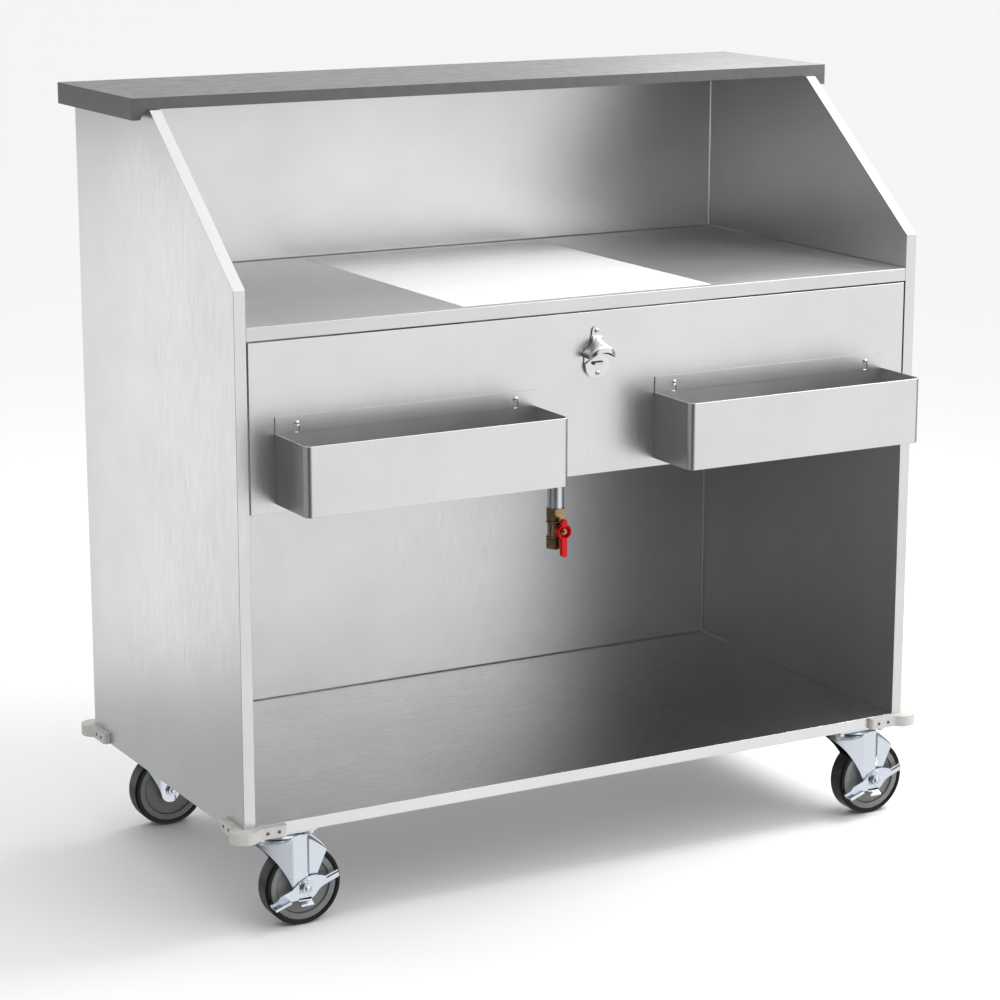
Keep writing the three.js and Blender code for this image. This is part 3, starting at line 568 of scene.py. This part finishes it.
def brake_lever_mesh():
    """See-saw pedal: a round plate, a raised arm with its edge turned in, and a tread that stands out."""
    thick = 3.0
    reach = thick + 16.6
    body = soften(plate([pedal_outline(), circle(0, 0, 5.4, 32)], -thick, 0, ALONG_Y), 0.5)
    turned_in = rounded([(-thick, -3), (-thick, 1.5), (4.6, 1.5), (4.6, -1.2), (0, -1.2), (0, -3)],
                        [0, 2.4, 0.6, 0.6, 0.8, 0])
    rim = 2.4 - reach
    tread = rounded([(0, -3.5), (0, -0.6), (-reach, -0.6), (-reach, -5), (rim, -5), (rim, -3.5)],
                    [0, 0, 2.2, 0.6, 0.6, 0.8])
    lip = rounded([(0, -16), (-thick, -16), (-thick, -20.6), (-11, -24.4), (-12, -27), (0, -22.6)],
                  [0, 0, 1.5, 0.8, 0.8, 3])
    arms = joined(
        body,
        soften(plate([turned_in], 36, 57, ALONG_X), 0.5),
        soften(plate([tread], -63, -35, ALONG_X), 0.5),
    )
    dimple = [(0, -0.9), (1.3, -0.8), (1.8, -0.2), (1.8, 0.4), (0, 0.4)]
    marks = [(turned(dimple, 16, ALONG_Y), move(u, -thick, v)) for u, v in circle(0, 0, 12.6, 5)]
    flared = soften(plate([lip], -12.5, 9, ALONG_X), 0.5)
    return joined((arms, spin(PEDAL_TILT, "Y").inverted()), flared, *marks)


def add_casters():
    """Four casters: plate, bolts and race on the cabinet, the rest on the swivel, wheel and brake."""
    bolt_x, bolt_y = PLATE_BOLTS
    zinc_piece = (zinc, "bright_zinc")
    sheet = ("SOLIDIFY", {"thickness": FORK_SHEET * MM, "offset": 0.0, "use_even_offset": True})
    rim = ("BEVEL", {"width": 0.0006, "segments": 2, "limit_method": "ANGLE", "angle_limit": 0.8})
    for corner in CORNERS:
        name = f"caster_{corner}"
        braked = corner in BRAKED
        swivel = pivots[f"{name}_swivel_turn"]
        axle = pivots[f"{name}_wheel_spin"]
        add_piece(f"{name}_top_plate", caster_plate_mesh(), swivel, *zinc_piece, "cabinet",
                  [f"{name}_plate"])
        for i, (x, y) in enumerate(((-1, -1), (1, -1), (1, 1), (-1, 1))):
            spot = swivel + Vector((x * bolt_x, y * bolt_y, 0)) * MM
            add_piece(f"{name}_plate_bolt_{i + 1}", caster_bolt_mesh(), spot, *zinc_piece, "cabinet")
        add_piece(f"{name}_ball_race", kingpin_mesh(), swivel, *zinc_piece, "cabinet",
                  [f"{name}_kingpin"])
        add_piece(f"{name}_pressed_fork", fork_mesh(), swivel, *zinc_piece, f"{name}_swivel",
                  [f"{name}_fork"], 40, [sheet, rim])
        add_piece(f"{name}_axle_bolt", axle_mesh(braked), axle, *zinc_piece, f"{name}_swivel",
                  [f"{name}_axle"])
        add_piece(f"{name}_wheel_hub", hub_mesh(), axle, hub_grey, "hub_plastic", f"{name}_wheel",
                  [f"{name}_hub"])
        add_piece(f"{name}_solid_tyre", tyre_mesh(), axle, rubber, "tyre_rubber", f"{name}_wheel",
                  [f"{name}_tyre"])
        if braked:
            spot = axle + Vector((0, -PEDAL_FACE * MM, 0))
            add_piece(f"{name}_brake_pedal", brake_lever_mesh(), spot, *zinc_piece, f"{name}_brake",
                      [f"{name}_brake_lever"])


# ---- Body places: X from the middle, Y back from the front face, Z up from the underside ----
side_low, side_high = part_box("side_panel_left")
BODY = Vector((0, side_low.y, side_low.z))
HALF_W = -side_low.x / MM
BODY_D = (side_high.y - side_low.y) / MM


def in_body(x=0.0, y=0.0, z=0.0):
    """A place in metres from body millimetres."""
    return BODY + Vector((x, y, z)) * MM


def edge_of(name, axis, high):
    """Where a CAD node starts or ends along an axis, in body millimetres."""
    return (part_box(name)[high][axis] - BODY[axis]) / MM


def screw_head_mesh(radius, height, recess):
    """Low domed head along Y, its underside at 0 and its recess towards -Y."""
    return turned([
        (0, recess - height), (radius * 0.36, recess - height), (radius * 0.42, -height),
        (radius * 0.72, -height * 0.86), (radius * 0.94, -height * 0.5), (radius, 0), (0, 0),
    ], 28, ALONG_Y)


# ---- Corner bumpers and their screws ----
BUMPER_THICK = 11.0
BUMPER_HIGH = 18.0
BUMPER_SCREWS = (34.0, 53.0)  # along an arm from the body's corner


def bumper_mesh():
    """Two arms along the body's faces that swell into a round corner; the corner is at the origin."""
    arm, thick, corner_r, gap = 67.0, BUMPER_THICK, 23.0, 0.3
    swell = 14.0
    meet = math.sqrt(corner_r**2 - swell**2)
    turn = math.degrees(math.atan2(swell, meet))
    outline = [(-gap, -gap), (-gap, arm)]
    outline += arc(-thick + 5, arm - 5, 5, 90, 180, 7)
    outline += quad((-thick, 27), (-thick, meet + 3), (-swell, meet), 5)
    outline += arc(0, 0, corner_r, 90 + turn, 360 - turn, 40)[1:]
    outline += quad((meet, -swell), (meet + 3, -thick), (27, -thick), 5)
    outline += arc(arm - 5, -thick + 5, 5, 270, 360, 7)
    outline += [(arm, -gap)]
    return soften(plate([outline], 0.0, BUMPER_HIGH), 1.5, 3, 50)


def add_bumpers():
    """A moulding on each corner of the body, with two screws in each arm."""
    turns = {"front_left": (-1, 0, 0), "front_right": (1, 0, 90),
             "back_right": (1, 1, 180), "back_left": (-1, 1, -90)}
    head = (2.9, 0.9, 0.8)
    for corner, (side, back, turn) in turns.items():
        spot = in_body(side * HALF_W, back * BODY_D, 0)
        add_piece(f"bumper_{corner}_moulding", joined((bumper_mesh(), spin(turn))), spot, bumper_grey,
                  "bumper_plastic", "cabinet", [f"bumper_{corner}"], 40)
        for i, reach in enumerate(BUMPER_SCREWS):
            along_x = (screw_head_mesh(*head), move(reach, -BUMPER_THICK, BUMPER_HIGH / 2))
            along_y = (screw_head_mesh(*head), move(-BUMPER_THICK, reach, BUMPER_HIGH / 2) @ spin(-90))
            heads = joined((joined(along_x, along_y), spin(turn)))
            # the screw heads carry the painted shade of their sunken seats
            add_piece(f"bumper_{corner}_screws_{i + 1}", heads, spot, screw_painted_shade, "screw_steel", "cabinet")


# ---- Bottle opener ----
def opener_hood_mesh():
    """The hood as one bent sheet: a neck that slopes out, an arched band, and flanks back to the wall."""
    bm = bmesh.new()
    rows, columns, flank = 16, 40, 8
    before = None
    for i in range(rows + 1):
        s = i / rows
        half = 7.5 + 16.5 * smooth(s * 1.25)
        forward = 3 + 24.0 * smooth(s * 1.35) ** 0.9 + 1.2 * s
        row = []
        for j in range(-flank, columns + flank + 1):
            t = max(-1.0, min(1.0, -1 + 2 * j / columns))
            back = max(-j, j - columns, 0) / flank
            depth = (forward - 0.34 * (forward - 3) * t**4) * (1 - back)
            low = 2.5 - 10 * t**2 + 1.5 * back
            high = 25 - 13 * abs(t) ** 3 * smooth(s * 2)
            across = half * t * (1 + 0.02 * back)
            row.append(bm.verts.new((across, -depth - 0.6, high + (low - high) * s**1.15)))
        if before:
            for left, right, low_right, low_left in zip(before, before[1:], row[1:], row):
                bm.faces.new((left, right, low_right, low_left))
        before = row
    bmesh.ops.recalc_face_normals(bm, faces=bm.faces)
    return bm


def opener_plate_mesh(ear_z, low_z):
    """Wall plate with its screw ear, and the thicker shield below with a raised edge round its foot."""
    outline = arc(0, ear_z, 7.5, 0, 180, 14)
    outline += quad((-7.5, ear_z), (-8.5, 17), (-20, 8), 6)
    outline += [(-21.5, 4), (-21.5, -16)]
    outline += quad((-21.5, -16), (-21.5, -40.5), (0, -40.5), 12)
    outline += quad((0, -40.5), (21.5, -40.5), (21.5, -16), 12)
    outline += [(21.5, 4), (20, 8)]
    outline += quad((20, 8), (8.5, 17), (7.5, ear_z), 6)[:-1]
    holes = [circle(0, ear_z, 2.8, 20), circle(0, low_z, 2.8, 20)]
    backing = soften(plate([outline, *holes], -2.6, -0.3, ALONG_Y), 0.4)
    shield = quad((-21.5, -18), (-21, -40), (0, -40.5), 14)
    shield += quad((0, -40.5), (21, -40), (21.5, -18), 14)
    shield += quad((21.5, -18), (12, -9.5), (0, -9.5), 10)
    shield += quad((0, -9.5), (-12, -9.5), (-21.5, -18), 10)
    face = soften(plate([shield, circle(0, low_z, 2.8, 20)], -5.6, -2.6, ALONG_Y), 1.0, 3)
    lip = rounded([(-2.6, -13), (-12, -15.5), (-12, -18.5), (-4, -20)], 1.0)
    tongue = soften(plate([lip], -8, 8, ALONG_X), 0.6)
    return joined(backing, face, tongue)


def add_opener():
    """Plate, hood and screws, with their origin on the body's face midway between the screws."""
    mid = (edge_of("opener_screw_upper", 2, 0) + edge_of("opener_screw_lower", 2, 1)) / 2
    ear_z = (edge_of("opener_screw_upper", 2, 0) + edge_of("opener_screw_upper", 2, 1)) / 2 - mid
    spot = in_body(0, 0, mid)
    finish = (chrome, "cast_chrome", "cabinet")
    add_piece("opener_casting", opener_plate_mesh(ear_z, -ear_z), spot, *finish, ["bottle_opener"], 30)
    wall = ("SOLIDIFY", {"thickness": 2.8 * MM, "offset": -1.0, "use_even_offset": True})
    rim = ("BEVEL", {"width": 0.0008, "segments": 3, "limit_method": "ANGLE", "angle_limit": 0.9})
    add_piece("opener_hood", opener_hood_mesh(), spot, *finish, (), 60, [wall, rim])
    for place, side in (("upper", 1), ("lower", -1)):
        seat = -2.8 if side > 0 else -5.2
        head = joined((screw_head_mesh(3.6, 2.4, 1.4), move(0, seat)))
        add_piece(f"opener_screw_{place}_head", head, in_body(0, 0, mid + side * ear_z), screw_steel,
                  "screw_steel", "cabinet", [f"opener_screw_{place}"])


# ---- Speed rails ----
TROUGH_HIGH = 106.0  # up to the rim; the flange stands above it


def rail_mesh(length, depth, high, flange, screw_x, screw_z):
    """Trough with round front corners and a folded rim, with a keyholed flange behind it."""
    half, sheet, r = length / 2, 1.5, 10.0

    def trough_outline(inset):
        front = -depth + inset
        corner = r - inset
        return [(half - inset, -0.3 - inset), (-half + inset, -0.3 - inset),
                *arc(-half + r, front + corner, corner, 180, 270, 10),
                *arc(half - r, front + corner, corner, 270, 360, 10)]

    def ring(inset, z):
        return [(x, y, z) for x, y in trough_outline(inset)]

    trough = lofted([
        ring(0.9, 0), ring(0.25, 0.25), ring(0, 0.9), ring(0, high - 0.4), ring(0.3, high),
        ring(sheet - 0.3, high), ring(sheet, high - 0.4), ring(sheet, sheet + 1), ring(sheet + 1, sheet),
    ])
    keyholes = []
    for x in (-screw_x, screw_x):
        slot = arc(x, screw_z, 2.9, 0, 180, 8)
        slot += arc(x, screw_z - 9, 5, 144.5, 395.5, 18)
        keyholes.append(slot)
    top = rectangle(-half, half, high - 1, high + flange, 0)
    return joined(trough, soften(plate([top, *keyholes], -1.8, -0.3, ALONG_Y), 0.35))


def add_rails():
    """The two hanging troughs, and the screws in the front panel that hold them."""
    for side in ("left", "right"):
        name = f"speed_rail_{side}"
        low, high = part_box(name)
        middle = (low.x + high.x) / 2
        screw_low, screw_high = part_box(f"rail_screw_{side}_outer")
        screw_x = abs((screw_low.x + screw_high.x) / 2 - middle) / MM
        screw_z = ((screw_low.z + screw_high.z) / 2 - low.z) / MM
        mesh = rail_mesh((high.x - low.x) / MM, (BODY.y - low.y) / MM, TROUGH_HIGH,
                         (high.z - low.z) / MM - TROUGH_HIGH, screw_x, screw_z)
        place = Vector((middle, BODY.y, low.z))
        add_piece(f"{name}_folded", mesh, place, rail_steel, "rail_stainless", name, [name], 28)
        for end in ("outer", "inner"):
            screw = f"rail_screw_{side}_{end}"
            a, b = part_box(screw)
            spot = Vector(((a.x + b.x) / 2, BODY.y - 2.1 * MM, (a.z + b.z) / 2))
            add_piece(f"{screw}_head", screw_head_mesh(4.0, 2.6, 1.6), spot, screw_steel,
                      "screw_steel", "cabinet", [screw])


# ---- Drain pipe and ball valve ----
VALVE_HEXAGON = 29.0  # across the flats of both ends


def valve_body_mesh(top, low):
    """Forged body: hexagon end, waists and rings, and the stem's gland towards the front."""
    collar = hexagon(VALVE_HEXAGON, top - 18, top, 1.6, bore=13.7)
    lip = turned([(13.5, top - 0.2), (14.4, top - 0.2), (14.4, top + 0.5), (13.5, top + 0.5)], 40)
    core = turned([
        (12.6, top - 17), (12.6, top - 20.2), (14.6, top - 21), (15.2, top - 22), (15.2, top - 24.8),
        (14.4, top - 25.6), (13.2, top - 26.4), (13.2, low + 5), (14.6, low + 4.2), (15.1, low + 3.4),
        (15.1, low + 2), (14.4, low + 1.4), (12.4, low + 1.2), (12.4, low + 0.2), (9.5, low + 0.2),
        (9.5, top - 17),
    ], 56)
    gland = turned([(4.3, -13), (8.6, -13), (8.6, -17.4), (8.0, -18), (4.3, -18)], 32, ALONG_Y)
    nut = hexagon(13.6, -19.4, -17.4, 0.5, ALONG_Y, 4.3)
    return joined(collar, lip, core, gland, nut)


def valve_handle_mesh(middle):
    """Pressed handle: a cup round the stem with a rolled rim, a stub above and the lever below."""
    front, back = middle - 5, middle + 5
    cup = turned([
        (4.3, back - 2.2), (4.3, back), (11.2, back), (12.3, back - 1), (12.5, front + 1.2),
        (12.0, front + 0.3), (11.0, front), (9.9, front + 0.5), (9.4, front + 1.6), (9.2, back - 2.8),
        (8.6, back - 3.2), (2.9, back - 3.2), (2.9, back - 2.2),
    ], 48, ALONG_Y)
    lever = rounded([(-4.8, -9), (-4.4, -42), (4.4, -42), (4.8, -9)], [0, 4.2, 4.2, 0], 8)
    stub = rounded([(-4.6, 9), (4.6, 9), (4.2, 20), (-4.2, 20)], [0, 0, 3.4, 3.4], 6)
    arms = [soften(plate([shape], front + 0.6, back - 1, ALONG_Y), 1.3, 3) for shape in (lever, stub)]
    return joined(cup, *arms)


def add_drain():
    """Pipe, valve, handle and nut on the drain's axis, with their origin at the middle of the ball."""
    pipe_low, pipe_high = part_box("drain_pipe")
    ball_low, ball_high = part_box("valve_ball")
    spot = (pipe_low + pipe_high) / 2
    spot.z = (ball_low.z + ball_high.z) / 2
    top = (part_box("valve_body")[1].z - spot.z) / MM
    split = (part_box("valve_end_nut")[1].z - spot.z) / MM
    bottom = (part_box("valve_end_nut")[0].z - spot.z) / MM
    metal = (brass, "valve_brass")
    forging = valve_body_mesh(top - 0.5, split)
    add_piece("valve_forging", forging, spot, *metal, "cabinet", ["valve_body"], 28)
    fitting = hexagon(VALVE_HEXAGON, bottom, split, 1.6, bore=9.5)
    add_piece("valve_end_fitting", fitting, spot, *metal, "cabinet", ["valve_end_nut"], 28)
    handle_low, handle_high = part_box("valve_handle")
    middle = ((handle_low.y + handle_high.y) / 2 - spot.y) / MM
    add_piece("valve_lever", valve_handle_mesh(middle), spot, red_enamel, "red_enamel", "valve_handle",
              ["valve_handle"], 28)
    stem_end = turned([
        (0, middle - 5), (1.9, middle - 4.9), (2.5, middle - 4.2), (2.5, middle), (0, middle),
    ], 20, ALONG_Y)
    nut = joined(hexagon(9, middle - 3.4, middle + 1.6, 0.6, ALONG_Y), stem_end)
    add_piece("valve_handle_fixing", nut, spot, *metal, "valve_handle", ["valve_handle_nut"], 28)
    pipe_top = (pipe_high.z - spot.z) / MM
    end = (pipe_low.z - spot.z) / MM
    pipe = turned([
        (10.4, end + 0.8), (11.2, end), (12.6, end), (13.35, end + 0.8), (13.35, pipe_top - 2),
        (29.2, pipe_top - 2), (30, pipe_top - 1.4), (29.2, pipe_top), (10.4, pipe_top),
    ], 72)
    add_piece("drain_pipe_tube", pipe, spot, pipe_plated, "plated_pipe", "cabinet", ["drain_pipe"], 28)


# ---- Welded seams of the box ----
def fillet_mesh(length, leg, facing):
    """Concave bead in the corner of the two positive half planes."""
    section = [(0, 0), (leg, 0), *quad((leg, 0), (leg * 0.3, leg * 0.3), (0, leg), 4)]
    return plate([section], 0, length, facing)


def mirrored(bm, x=1, y=1):
    """The same mesh turned over the planes whose sign is -1."""
    bmesh.ops.scale(bm, vec=(x, y, 1), verts=bm.verts)
    bmesh.ops.recalc_face_normals(bm, faces=bm.faces)
    return bm


def add_seams():
    """Beads where the level sheets and the back meet the walls, and fillers at the front edges."""
    leg = 2.2
    inner = edge_of("worktop", 0, 1)
    back = edge_of("back_panel", 1, 0)
    top = edge_of("back_panel", 2, 1)
    steel = (steel_upright, "brushed_stainless", "cabinet")
    for floor_name, roof in (("worktop", top), ("bottom_deck", edge_of("worktop", 2, 0))):
        floor_z = edge_of(floor_name, 2, 1)
        tag = floor_name.split("_")[-1]
        rear = joined((fillet_mesh(2 * inner, leg, ALONG_X), move(-inner, 0, 0)))
        add_piece(f"seam_{tag}_back", mirrored(rear, y=-1), in_body(0, back, floor_z), *steel)
        for side, sign in (("left", -1), ("right", 1)):
            low = mirrored(fillet_mesh(back, leg, ALONG_Y), -sign)
            upright = mirrored(fillet_mesh(roof - floor_z, leg, ALONG_Z), -sign, -1)
            add_piece(f"seam_{tag}_{side}", low, in_body(sign * inner, 0, floor_z), *steel)
            add_piece(f"seam_upright_{tag}_{side}", upright, in_body(sign * inner, back, floor_z), *steel)
            thick_low = edge_of(floor_name, 2, 0)
            outline = rectangle(-0.1, 0.4, thick_low, floor_z)
            filler = plate([[(sign * x, z) for x, z in outline]], 0, 6, ALONG_Y)
            add_piece(f"seam_front_{tag}_{side}", filler, in_body(sign * inner, 0, 0), *steel)


add_casters()
add_bumpers()
add_opener()
add_rails()
add_drain()
add_seams()


# ---- Camera, light and floor ----
def make_camera():
    """At the front left, a little above the counter, looking down at the object."""
    data = bpy.data.cameras.new("camera")
    data.lens = 105.8
    data.sensor_width = 36
    camera = bpy.data.objects.new("camera", data)
    camera.location = (-2.3053, -4.1160, 1.6740)
    camera.rotation_euler = (math.radians(90 - 13.2), 0, math.radians(-29.0))
    bpy.context.scene.collection.objects.link(camera)
    bpy.context.scene.camera = camera


def make_floor():
    """A wide pale floor at Z 0, which glossy surfaces don't mirror."""
    half = 40
    corners = [(-half, -half, 0), (half, -half, 0), (half, half, 0), (-half, half, 0)]
    mesh = bpy.data.meshes.new("floor")
    mesh.from_pydata(corners, [], [(0, 1, 2, 3)])
    floor = bpy.data.objects.new("floor", mesh)
    bpy.context.scene.collection.objects.link(floor)
    made, _, shader, _ = new_material("floor")
    shader.inputs["Base Color"].default_value = (0.97, 0.97, 0.97, 1)
    shader.inputs["Roughness"].default_value = 0.8
    mesh.materials.append(made)
    floor.visible_glossy = False


def area_light(name, place, target, size, power):
    """A soft box at a place in metres, turned to its target, with its power in watts."""
    data = bpy.data.lights.new(name, "AREA")
    data.shape = "RECTANGLE"
    data.size, data.size_y = size
    data.energy = power
    light = bpy.data.objects.new(name, data)
    light.location = place
    light.rotation_euler = (Vector(target) - Vector(place)).to_track_quat("-Z", "Y").to_euler()
    bpy.context.scene.collection.objects.link(light)


AMBIENT = 0.08
STUDIO = [  # direction, cosine at the lobe's rim, brightness at its middle
    ((0.0, 0.0, 1.0), 0.2, 1.04),
    ((0.50, -0.84, -0.20), 0.75, 0.98),
    ((0.45, -0.60, 0.65), 0.75, 1.04),
    ((0.97, -0.20, 0.10), 0.75, 0.3),
    ((0.50, 0.80, 0.25), 0.75, 0.64),
    ((0.62, 0.76, -0.18), 0.8, 0.6),
    ((-0.50, 0.84, -0.20), 0.8, 0.46),
    ((-0.97, -0.10, 0.0), 0.75, 0.32),
    ((0.0, 0.0, -1.0), 0.3, 0.5),
]


def make_world():
    """Soft bright lobes all round, darker where the camera stands, behind a plain white backdrop."""
    world = bpy.data.worlds.new("studio")
    bpy.context.scene.world = world
    world.use_nodes = True
    tree = world.node_tree
    background = tree.nodes["Background"]
    place = tree.nodes.new("ShaderNodeTexCoord")
    ambient = tree.nodes.new("ShaderNodeValue")
    ambient.outputs["Value"].default_value = AMBIENT
    total = ambient.outputs["Value"]
    for direction, rim, amount in STUDIO:
        along = tree.nodes.new("ShaderNodeVectorMath")
        along.operation = "DOT_PRODUCT"
        along.inputs[1].default_value = Vector(direction).normalized()
        tree.links.new(place.outputs["Generated"], along.inputs[0])
        lobe = tree.nodes.new("ShaderNodeMapRange")
        lobe.interpolation_type = "SMOOTHSTEP"
        lobe.inputs["From Min"].default_value = rim
        lobe.inputs["To Max"].default_value = amount
        tree.links.new(along.outputs["Value"], lobe.inputs["Value"])
        add = tree.nodes.new("ShaderNodeMath")
        add.operation = "ADD"
        tree.links.new(total, add.inputs[0])
        tree.links.new(lobe.outputs["Result"], add.inputs[1])
        total = add.outputs["Value"]
    backdrop = tree.nodes.new("ShaderNodeMix")
    backdrop.inputs["B"].default_value = 1.0
    ray = tree.nodes.new("ShaderNodeLightPath")
    tree.links.new(ray.outputs["Is Camera Ray"], backdrop.inputs["Factor"])
    tree.links.new(total, backdrop.inputs["A"])
    tree.links.new(backdrop.outputs["Result"], background.inputs["Color"])


make_camera()
make_floor()
make_world()
area_light("right", (1.7, -0.5, 1.9), (0.5, 0.1, 1.2), (0.8, 0.8), 24)
area_light("behind_right", (1.5, 1.3, 2.3), (0.2, 0.1, 1.25), (0.8, 0.8), 13)
area_light("over_worktop", (1.1, -0.6, 2.4), (0.4, -0.1, 0.95), (0.5, 0.5), 11)
area_light("behind_left", (-1.45, 1.7, 0.4), (-0.6, -0.3, 0.6), (0.6, 1.2), 2)
bpy.context.scene.view_settings.view_transform = "Standard"
